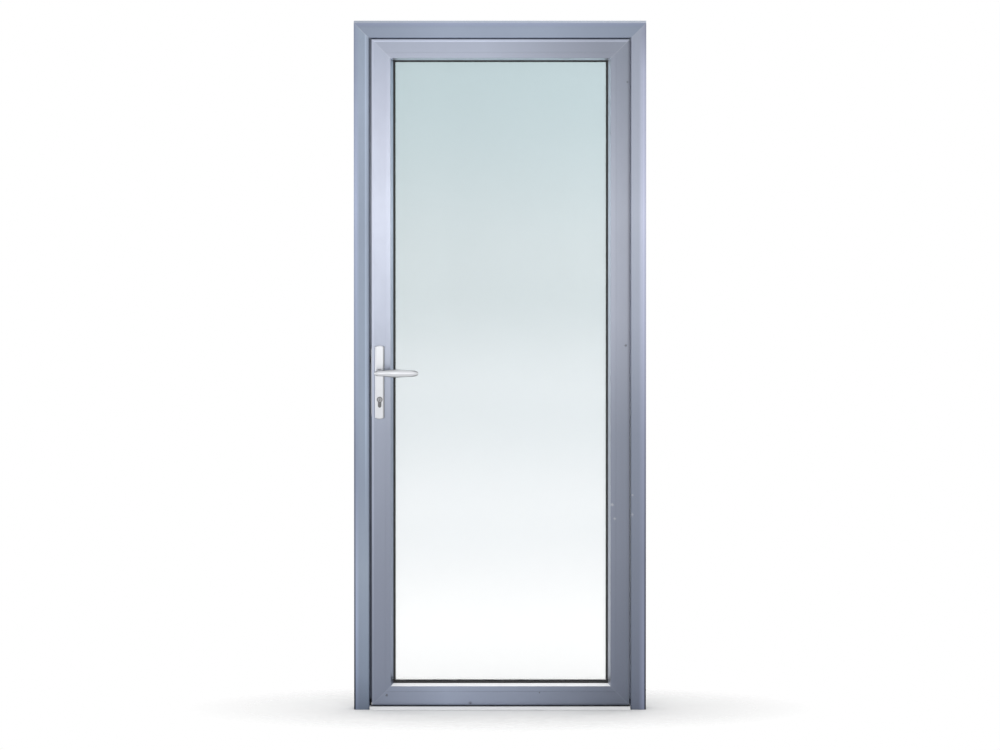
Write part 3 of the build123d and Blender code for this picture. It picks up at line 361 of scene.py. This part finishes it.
def spots(tree, points):
    """One near each given point of the front face. A point has a place and a radius."""
    total = 0.0
    wobble = noise(tree, scale=420.0, detail=2.0)
    for across, height, radius in points:
        centre = (across, FACE_PLANE, height)
        apart = put(tree, "ShaderNodeVectorMath", {0: place(tree), 1: centre}, operation="DISTANCE")
        reach = radius * SPOT_WOBBLE_SHARE
        away = combine(tree, "ADD", apart.outputs["Value"], between(tree, wobble, -reach, reach))
        near = between(tree, away, 1.0, 0.0, radius * SPOT_CORE_SHARE, radius)
        total = combine(tree, "MAXIMUM", total, near)
    return total


def away_from(tree, axis, centre, half):
    """How far a point lies beyond a half width, along one axis."""
    offset = combine(tree, "SUBTRACT", coordinate(tree, axis), centre)
    return combine(tree, "SUBTRACT", combine(tree, "ABSOLUTE", offset), half)


def outside(tree, box):
    """How far a point lies beyond an upright rectangle, across and upright."""
    left, right, bottom, top = box
    across = away_from(tree, "X", (left + right) / 2, (right - left) / 2)
    return across, away_from(tree, "Z", (bottom + top) / 2, (top - bottom) / 2)


def mitre_lines(tree, box):
    """One on the hairline joints that run from the corners of an upright rectangle."""
    gap = combine(tree, "ABSOLUTE", combine(tree, "SUBTRACT", *outside(tree, box)))
    return between(tree, gap, 1.0, 0.0, *MITRE_WIDTH)


# Finish of the extrusions
def drawn_film(tree, colour, run, lines, grime):
    """Colour of the anodic film with fine lines, a slow drift of tone and patches of dust."""
    drift = noise(tree, scale=5.0, detail=3.0, stretch=DRIFT_STRETCH[run])
    fine = between(tree, lines, 0.0, LINE_SHARE)
    tone = combine(tree, "ADD", fine, between(tree, drift, 0.0, DRIFT_SHARE))
    paint = blend(tree, tone, shade(colour, share=0.93), shade(colour, share=1.07))
    dust = between(tree, grime, low=0.0, high=DUST_STRENGTH, start=0.62, end=0.82)
    return blend(tree, dust, paint, shade(DUST))


def painted_rim_light(tree, paint, box, width, levels):
    """Painted bluer reflection, at set levels up the height, along the outer edge of the front face, with
    painted shade on the arris.
    """
    across, above = outside(tree, box)
    front = before(tree, FACE_PLANE + FRONT_DEPTH)
    inset = combine(tree, "MAXIMUM", across, above)
    rim = between(tree, inset, 0.0, 1.0, -width, -width * RIM_FULL_SHARE)
    rim = combine(tree, "MULTIPLY", front, rim)
    paint = tinted(tree, rim, paint, times(tree, level_up(tree, levels), RIM_REFLECTION_TINT))
    # Painted shade on the outer corner of the frame
    corner = between(tree, across, 0.0, 1.0, -ARRIS_START, -ARRIS_FULL)
    corner = combine(tree, "MULTIPLY", front, corner)
    return tinted(tree, corner, paint, level_up(tree, ARRIS_PAINTED_SHADE))


def painted_highlight_stripe(tree, paint, stripe):
    """A painted highlight stripe on the film of the front face."""
    (left, right), (low, high), fade, level = stripe
    spread = combine(tree, "MULTIPLY", band(tree, "X", left, right), band(tree, "Z", low, high, fade))
    line = combine(tree, "MULTIPLY", spread, before(tree, FACE_PLANE + FRONT_DEPTH))
    return tinted(tree, line, paint, grey(level))


def painted_fin_light(tree, paint, box, levels):
    """Painted light and shade at the given levels on the front of the overlap fin, beyond the leaf's face.
    """
    beyond = between(tree, combine(tree, "MAXIMUM", *outside(tree, box)), 0.0, 1.0, *FIN_MARGIN)
    beyond = combine(tree, "MULTIPLY", beyond, before(tree, FIN_FRONT + FIN_DEPTH))
    return tinted(tree, beyond, paint, level_up(tree, levels))


def nose(tree, paint, bevel, slope):
    """The sloped nose of a bead, in its own colour of painted shade or highlight, or at its own levels of
    painted light.
    """
    face = before(tree, FACE_PLANE + BEAD_FACE_DEPTH)
    if bevel:
        paint = blend(tree, face, shade(bevel), paint)
    if slope:
        paint = blend(tree, face, times(tree, paint, level_up(tree, slope)), paint)
    return paint


def spotted(tree, paint, points, strength, colour):
    """Small spots of another colour on the front face."""
    share = combine(tree, "MULTIPLY", spots(tree, points), strength)
    return blend(tree, share, paint, shade(colour))


def painted_light_tone(tree, tones, sides):
    """Painted light and shade on the anodic film, up the height of the frame and across its width."""
    share = between(tree, coordinate(tree, "Z"), 0.0, 1.0, 0.0, FRAME_TOP)
    upright = ramp(tree, share, tones).outputs[0]
    return times(tree, upright, level_at(tree, "X", -SIDE_REACH, SIDE_REACH, sides))


def satin_metal(
    name, colour, roughness, run, box, tones, sides=FALLING_SIDES, *,
    rim=None, stripe=None, fin=None, bevel=None, slope=None, scuffs=(), marks=(), metallic=1.0,
):
    """Anodised extrusion with fine lines along its run, mitred corners and small marks, with painted light
    and shade up its height and across its width, and on its rim, stripe, fin and bead nose where given.
    """
    material, tree, shader = new_material(name)
    lines = noise(tree, scale=1.0, detail=2.0, stretch=LINE_STRETCH[run])
    grime = noise(tree, scale=60.0, detail=5.0, stretch=DRIFT_STRETCH[run], roughness=0.7)
    paint = drawn_film(tree, colour, run, lines, grime)
    if rim:
        paint = painted_rim_light(tree, paint, box, *rim)
    if stripe:
        paint = painted_highlight_stripe(tree, paint, stripe)
    if fin:
        paint = painted_fin_light(tree, paint, box, fin)
    joint = combine(tree, "MULTIPLY", mitre_lines(tree, box), JOINT_STRENGTH)
    paint = blend(tree, joint, paint, shade(JOINT))
    # Painted light and shade up the frame's height and across its width
    paint = times(tree, paint, painted_light_tone(tree, tones, sides))
    if bevel or slope:
        paint = nose(tree, paint, bevel, slope)
    if scuffs:
        paint = spotted(tree, paint, scuffs, SCUFF_STRENGTH, SCUFF)
    if marks:
        paint = spotted(tree, paint, marks, MARK_STRENGTH, MARK)
    tree.links.new(paint, shader.inputs["Base Color"])
    if bevel and metallic < 1.0:
        face = before(tree, FACE_PLANE + BEAD_FACE_DEPTH)
        tree.links.new(between(tree, face, metallic, 1.0), shader.inputs["Metallic"])
    else:
        shader.inputs["Metallic"].default_value = metallic
    drawn = between(tree, lines, low=roughness - 0.03, high=roughness + 0.03)
    rough = combine(tree, "ADD", drawn, between(tree, grime, low=-0.05, high=0.05))
    tree.links.new(rough, shader.inputs["Roughness"])
    bump(tree, shader, lines, FINE_RELIEF, strength=0.5)
    return material


# Finish of the handles and of the small metal pieces
def plate_edge_painted_shade(tree):
    """One on the rounded edge of the backplates that looks towards the glass, where shade is painted."""
    across = coordinate(tree, "X")
    return between(tree, across, 0.0, 1.0, PLATE_RIGHT - PLATE_EDGE_START, PLATE_RIGHT - PLATE_EDGE_FULL)


def lever_edge_painted_shade(tree):
    """One on the upper and lower edges of the spindle-shaped grips, where shade is painted."""
    half = level_at(tree, "X", GRIP_START, GRIP_END, GRIP_HALF_HEIGHT)
    offset = away_from(tree, "Z", SPINDLE_HEIGHT, 0.0)
    return between(tree, combine(tree, "DIVIDE", offset, half), 0.0, 1.0, *GRIP_SHADE_SHARES)


def cast_metal(name, colour, roughness, edge=None):
    """Turned, cast or pressed metal with a slight unevenness, with painted shade on an edge."""
    material, tree, shader = new_material(name)
    cloud = between(tree, noise(tree, scale=31.2, detail=4.0), low=0.0, high=0.6)
    fine = noise(tree, scale=1560.0, detail=3.0)
    tone = combine(tree, "ADD", cloud, between(tree, fine, low=0.0, high=0.4))
    paint = blend(tree, tone, shade(colour, share=0.92), shade(colour, share=1.06))
    # Painted shade, greyer on the given edge
    if edge:
        paint = blend(tree, edge(tree), paint, shade(colour, share=0.45))
    tree.links.new(paint, shader.inputs["Base Color"])
    rough = between(tree, tone, low=roughness - 0.05, high=roughness + 0.06)
    tree.links.new(rough, shader.inputs["Roughness"])
    shader.inputs["Metallic"].default_value = 1.0
    bump(tree, shader, fine, FINE_RELIEF, strength=0.4)
    return material


# Finish of rubber, nylon and brush
def soft_matter(name, colour, roughness, grain, relief):
    """Rubber, nylon or pile with a fine matt grain."""
    material, tree, shader = new_material(name)
    fine = noise(tree, scale=grain, detail=4.0)
    cloud = between(tree, noise(tree, scale=grain * 0.03, detail=3.0), low=0.0, high=0.5)
    tone = combine(tree, "ADD", between(tree, fine, low=0.0, high=0.5), cloud)
    paint = blend(tree, tone, shade(colour, share=0.75), shade(colour, share=1.25))
    tree.links.new(paint, shader.inputs["Base Color"])
    rough = between(tree, fine, low=roughness - 0.08, high=roughness + 0.08)
    tree.links.new(rough, shader.inputs["Roughness"])
    bump(tree, shader, fine, relief, strength=0.5)
    return material


# Finish of the glass
def glass(name):
    """Clear pane that lets light straight through, with a painted reflection as a tint that deepens
    towards the top, and a mirror sheen.
    """
    material, tree, shader = new_material(name)
    waver = between(tree, noise(tree, scale=1.4, detail=2.0), low=-0.02, high=0.02)
    height = combine(tree, "ADD", coordinate(tree, "Z"), waver)
    # Light crosses two faces of the pane, so each takes the square root of the tint
    stops = [(at, tuple(math.sqrt(c) for c in colour)) for at, colour in GLASS_PAINTED_REFLECTION]
    tint = ramp(tree, between(tree, height, 0.0, 1.0, 0.0, REFLECTION_TINT_HEIGHT), stops)
    tint.color_ramp.interpolation = "EASE"
    through = put(tree, "ShaderNodeBsdfTransparent", {"Color": tint.outputs[0]})
    shine = put(tree, "ShaderNodeBsdfGlossy", {"Color": shade(GLASS_SHINE), "Roughness": 0.05})
    slant = put(tree, "ShaderNodeLayerWeight", {"Blend": 0.5}).outputs["Facing"]
    sheen = between(tree, combine(tree, "POWER", slant, SHEEN_POWER), SHEEN_HEAD_ON, 1.0)
    both = put(tree, "ShaderNodeMixShader", {0: sheen, 1: through.outputs[0], 2: shine.outputs[0]})
    tree.links.new(both.outputs[0], tree.nodes["Material Output"].inputs["Surface"])
    tree.nodes.remove(shader)
    return material


def satin_glass(name):
    """Acid-etched pane that passes light and blurs what stands behind it."""
    material, tree, shader = new_material(name)
    fine = noise(tree, scale=2200.0, detail=3.0)
    cloud = noise(tree, scale=6.0, detail=3.0)
    paint = blend(tree, cloud, shade(SATIN_GLASS), shade(WHITE))
    tree.links.new(paint, shader.inputs["Base Color"])
    tree.links.new(between(tree, fine, low=0.94, high=1.0), shader.inputs["Roughness"])
    shader.inputs["Transmission Weight"].default_value = 1.0
    shader.inputs["IOR"].default_value = SATIN_INDEX
    bump(tree, shader, fine, FINE_RELIEF, strength=0.3)
    return material


# One material for each kind of piece
materials = {
    "lock_jamb": satin_metal(
        "lock_jamb_metal", LOCK_JAMB_SHADED_METAL, FRAME_ROUGHNESS, "z", FRAME_BOX, LOCK_JAMB_PAINTED_LIGHT,
        rim=(LOCK_RIM_WIDTH, LOCK_RIM_HIGHLIGHT), stripe=LOCK_JAMB_PAINTED_HIGHLIGHT,
    ),
    "hinge_jamb": satin_metal(
        "hinge_jamb_metal", HINGE_JAMB_LIT_METAL, FRAME_ROUGHNESS, "z", FRAME_BOX, HINGE_JAMB_PAINTED_LIGHT,
        rim=(HINGE_RIM_WIDTH, HINGE_RIM_HIGHLIGHT), scuffs=JAMB_SCUFFS,
    ),
    "head": satin_metal(
        "head_metal", HEAD_METAL, FRAME_ROUGHNESS, "x", FRAME_BOX, LEAF_PAINTED_LIGHT, HEAD_SIDES,
        rim=(HEAD_RIM_WIDTH, HEAD_RIM_HIGHLIGHT),
    ),
    "lock_stile": satin_metal(
        "lock_stile_metal", LOCK_STILE_LIT_METAL, LEAF_ROUGHNESS, "z", LEAF_BOX, LOCK_STILE_PAINTED_LIGHT,
        fin=LOCK_FIN_PAINTED_SHADE,
    ),
    "hinge_stile": satin_metal(
        "hinge_stile_metal", ALUMINIUM, LEAF_ROUGHNESS, "z", LEAF_BOX, HINGE_STILE_PAINTED_LIGHT,
        HINGE_STILE_SIDES, fin=HINGE_FIN_PAINTED_LIGHT, scuffs=STILE_SCUFFS, marks=STILE_MARKS,
    ),
    "top_rail": satin_metal(
        "top_rail_metal", ALUMINIUM, LEAF_ROUGHNESS, "x", LEAF_BOX, LEAF_PAINTED_LIGHT, TOP_RAIL_SIDES,
        stripe=TOP_RAIL_PAINTED_HIGHLIGHT,
    ),
    "bottom_rail": satin_metal(
        "bottom_rail_metal", ALUMINIUM, LEAF_ROUGHNESS, "x", LEAF_BOX, LEAF_PAINTED_LIGHT, BOTTOM_RAIL_SIDES,
        marks=RAIL_MARKS,
    ),
    "lock_bead": satin_metal(
        "lock_bead_metal", LOCK_STILE_LIT_METAL, BEAD_ROUGHNESS, "z", LEAF_BOX, LOCK_STILE_PAINTED_LIGHT,
        slope=LOCK_SLOPE_PAINTED_LIGHT,
    ),
    "hinge_bead": satin_metal(
        "hinge_bead_metal", ALUMINIUM, BEAD_ROUGHNESS, "z", LEAF_BOX, HINGE_STILE_PAINTED_LIGHT,
        HINGE_STILE_SIDES, bevel=HINGE_BEVEL_PAINTED_SHADE, slope=HINGE_SLOPE_PAINTED_LIGHT, scuffs=STILE_SCUFFS,
    ),
    "top_bead": satin_metal(
        "top_bead_metal", ALUMINIUM, BEAD_ROUGHNESS, "x", LEAF_BOX, LEAF_PAINTED_LIGHT, TOP_RAIL_SIDES,
        bevel=TOP_BEVEL_PAINTED_SHADE,
    ),
    "bottom_bead": satin_metal(
        "bottom_bead_metal", ALUMINIUM, BEAD_ROUGHNESS, "x", LEAF_BOX, LEAF_PAINTED_LIGHT, BOTTOM_RAIL_SIDES,
        bevel=BOTTOM_BEVEL_PAINTED_HIGHLIGHT, metallic=DULL_METALLIC,
    ),
    "threshold": satin_metal(
        "threshold_metal", THRESHOLD_LIT_METAL, THRESHOLD_ROUGHNESS, "x", FRAME_BOX, EVEN_TONE, EVEN_SIDES,
        metallic=DULL_METALLIC,
    ),
    "bare": cast_metal("bare_aluminium", (0.62, 0.63, 0.64), roughness=0.45),
    "hinge": cast_metal("hinge_metal", (0.40, 0.42, 0.46), roughness=0.38),
    "steel": cast_metal("steel", (0.42, 0.42, 0.43), roughness=0.32),
    "plate": cast_metal("backplate_metal", HANDLE_METAL, roughness=0.30, edge=plate_edge_painted_shade),
    "lever": cast_metal("lever_metal", HANDLE_METAL, roughness=0.30, edge=lever_edge_painted_shade),
    # The strike plate is painted nearly black, as painted shade for the dark gap at the lock side where it
    # shows
    "strike": cast_metal("strike_steel_painted_shade", (0.10, 0.10, 0.115), roughness=0.45),
    "brass": cast_metal("plated_brass", (0.15, 0.15, 0.155), roughness=0.34),
    "plug": cast_metal("plug_steel", (0.33, 0.33, 0.34), roughness=0.30),
    "nylon": soft_matter(
        "nylon", (0.10, 0.10, 0.105), roughness=0.45, grain=900.0, relief=0.00002
    ),
    "rubber": soft_matter(
        "black_rubber", (0.012, 0.012, 0.013), roughness=0.55, grain=1500.0, relief=0.00003
    ),
    "brush": soft_matter(
        "brush_pile", (0.03, 0.03, 0.032), roughness=0.85, grain=2500.0, relief=0.0003
    ),
    "front_glass": glass("front_glass"),
    "rear_glass": satin_glass("rear_glass"),
}
HINGES = ("top", "middle", "bottom")
USES = {
    "lock_jamb": ["lock_jamb"],
    "hinge_jamb": ["hinge_jamb"],
    "head": ["head"],
    "lock_stile": ["lock_stile"],
    "hinge_stile": ["hinge_stile"],
    "top_rail": ["top_rail"],
    "bottom_rail": ["bottom_rail"],
    "lock_bead": ["lock_side_bead"],
    "hinge_bead": ["hinge_side_bead"],
    "top_bead": ["top_bead"],
    "bottom_bead": ["bottom_bead"],
    "threshold": ["threshold"],
    "bare": ["frame_cleats", "leaf_cleats", "spacer"],
    "hinge": [f"{h}_hinge_{p}" for h in HINGES for p in ("frame_plate", "leaf_plate")],
    "steel": [f"{h}_hinge_pin" for h in HINGES]
    + ["strike_screws", "hinge_frame_screws", "hinge_leaf_screws", "lock_case", "forend"]
    + ["forend_screws", "latch_bolt", "dead_bolt", "follower", "cylinder_screw", "handle_screws"]
    + ["spindle", "grub_screws"],
    "strike": ["strike_plate"],
    "plate": ["front_backplate", "rear_backplate"],
    "lever": ["front_lever", "rear_lever"],
    "brass": ["cylinder_body", "cam"],
    "plug": ["front_plug", "rear_plug"],
    "nylon": [f"{h}_hinge_bushes" for h in HINGES] + ["setting_blocks", "location_blocks"],
    "rubber": ["edge_seal", "front_gasket", "rear_gasket", "leaf_seal", "threshold_pads"],
    "brush": ["bottom_brush"],
    "front_glass": ["front_pane"],
    "rear_glass": ["rear_pane"],
}
for key, names in USES.items():
    for name in names:
        mesh = nodes[name].data
        mesh.materials.clear()
        mesh.materials.append(materials[key])

# The satin pane hides the handle that stands behind it
for name in ("rear_lever", "rear_backplate"):
    nodes[name].visible_transmission = False

# Floor: sizes in metres, its colour, and where it fades, further out across than in depth
FLOOR_RADIUS = 2.4
FLOOR_SIDES = 96
FLOOR_HEIGHT = -0.0006
FLOOR_COLOUR = (0.82, 0.82, 0.82)
FLOOR_STRETCH = (1.0, 2.0, 1.0)
FADE_START = 0.35
FADE_END = 0.95


def floor():
    """Pale floor round the foot of the door, fading into the white backdrop."""
    bpy.ops.mesh.primitive_circle_add(
        vertices=FLOOR_SIDES, radius=FLOOR_RADIUS, fill_type="NGON", location=(0, 0, FLOOR_HEIGHT)
    )
    ground = bpy.context.object
    ground.name = "floor"
    material, tree, shader = new_material("pale_floor")
    tree.nodes.remove(shader)
    matt = put(tree, "ShaderNodeBsdfDiffuse", {"Color": shade(FLOOR_COLOUR)})
    spread = put(tree, "ShaderNodeMapping", {"Vector": place(tree), "Scale": FLOOR_STRETCH})
    reach = put(tree, "ShaderNodeVectorMath", {0: spread.outputs[0]}, operation="LENGTH")
    fade = between(tree, reach.outputs["Value"], 0.0, 1.0, FADE_START, FADE_END)
    clear = put(tree, "ShaderNodeBsdfTransparent")
    mixed = put(tree, "ShaderNodeMixShader", {0: fade, 1: matt.outputs[0], 2: clear.outputs[0]})
    tree.links.new(mixed.outputs[0], tree.nodes["Material Output"].inputs["Surface"])
    ground.data.materials.append(material)


# World
def room():
    """White where the camera, metal or glass looks, and a soft studio room as light."""
    world = bpy.data.worlds.new("studio")
    scene.world = world
    world.use_nodes = True
    tree = world.node_tree
    tree.nodes.clear()
    direction = put(tree, "ShaderNodeTexCoord").outputs["Generated"]
    way = put(tree, "ShaderNodeSeparateXYZ", {"Vector": direction})
    back = between(tree, way.outputs["Y"], low=0.30, high=0.6, start=-0.2, end=0.6)
    above = between(tree, way.outputs["Z"], low=0.0, high=0.3, start=0.1, end=0.9)
    level = combine(tree, "ADD", back, above)
    rays = put(tree, "ShaderNodeLightPath").outputs
    seen = combine(tree, "MAXIMUM", rays["Is Camera Ray"], rays["Is Transmission Ray"])
    seen = combine(tree, "MAXIMUM", seen, rays["Is Glossy Ray"])
    light = put(tree, "ShaderNodeBackground", {"Color": shade(WHITE), "Strength": level})
    white = put(tree, "ShaderNodeBackground", {"Color": shade(WHITE), "Strength": 1.0})
    mixed = put(tree, "ShaderNodeMixShader", {0: seen, 1: light.outputs[0], 2: white.outputs[0]})
    surface = put(tree, "ShaderNodeOutputWorld").inputs["Surface"]
    tree.links.new(mixed.outputs[0], surface)


# Lamps
def softbox(name, at, aim, size, power, mirrored=True):
    """An area lamp at one place and aimed at another, its size in metres and its power in watts."""
    data = bpy.data.lights.new(name, "AREA")
    data.shape = "RECTANGLE"
    data.size, data.size_y = size
    data.energy = power
    lamp = bpy.data.objects.new(name, data)
    scene.collection.objects.link(lamp)
    lamp.location = at
    lamp.rotation_euler = (Vector(aim) - Vector(at)).to_track_quat("-Z", "Y").to_euler()
    lamp.visible_camera = False
    lamp.visible_transmission = False
    lamp.visible_glossy = mirrored


def lamps():
    """Two soft lamps in front, one above, one at the lock side, one for the foot and one behind."""
    softbox("key", at=(-0.42, -2.4, 1.25), aim=(-0.38, 0.0, 1.50), size=(0.5, 0.8), power=2.6)
    softbox("fill", at=(0.42, -2.4, 1.15), aim=(0.42, 0.0, 1.45), size=(0.4, 0.8), power=1.0)
    softbox("overhead", at=(0.0, 0.1, 3.6), aim=(0.0, 0.1, 0.0), size=(2.4, 1.2), power=24.0)
    softbox("left", at=(-2.4, -0.65, 1.1), aim=(-0.2, -0.3, 1.1), size=(2.0, 2.0), power=10.0)
    softbox(
        "foot", at=(0.0, -1.6, 1.5), aim=(0.0, 0.0, 0.05), size=(1.0, 0.3), power=10.0, mirrored=False
    )
    softbox("rear", at=(0.8, 2.6, 1.9), aim=(0.0, 0.0, 1.1), size=(1.2, 1.2), power=8.0)


# Camera, a long lens: angles in degrees, sensor in millimetres, the rest in metres
VIEW_AZIMUTH = 0.0
VIEW_ELEVATION = 8.0
VIEW_DISTANCE = 100.0
VIEW_WIDTH = 3.030
VIEW_CENTRE = Vector((0.0, 0.0, 1.0211))
SENSOR_WIDTH = 36.0
NEAREST = 1.0
FURTHEST = 400.0


def camera():
    """Camera at the photograph's viewing angle, with the view's width at the door."""
    data = bpy.data.cameras.new("camera")
    data.sensor_width = SENSOR_WIDTH
    data.lens = SENSOR_WIDTH * VIEW_DISTANCE / VIEW_WIDTH
    data.clip_start, data.clip_end = NEAREST, FURTHEST
    cam = bpy.data.objects.new("camera", data)
    scene.collection.objects.link(cam)
    turn, rise = math.radians(VIEW_AZIMUTH), math.radians(VIEW_ELEVATION)
    level = math.cos(rise)
    away = Vector((math.sin(turn) * level, -math.cos(turn) * level, math.sin(rise)))
    cam.location = VIEW_CENTRE + away * VIEW_DISTANCE
    cam.rotation_euler = (-away).to_track_quat("-Z", "Y").to_euler()
    scene.camera = cam


floor()
room()
lamps()
camera()
scene.view_settings.view_transform = "Standard"
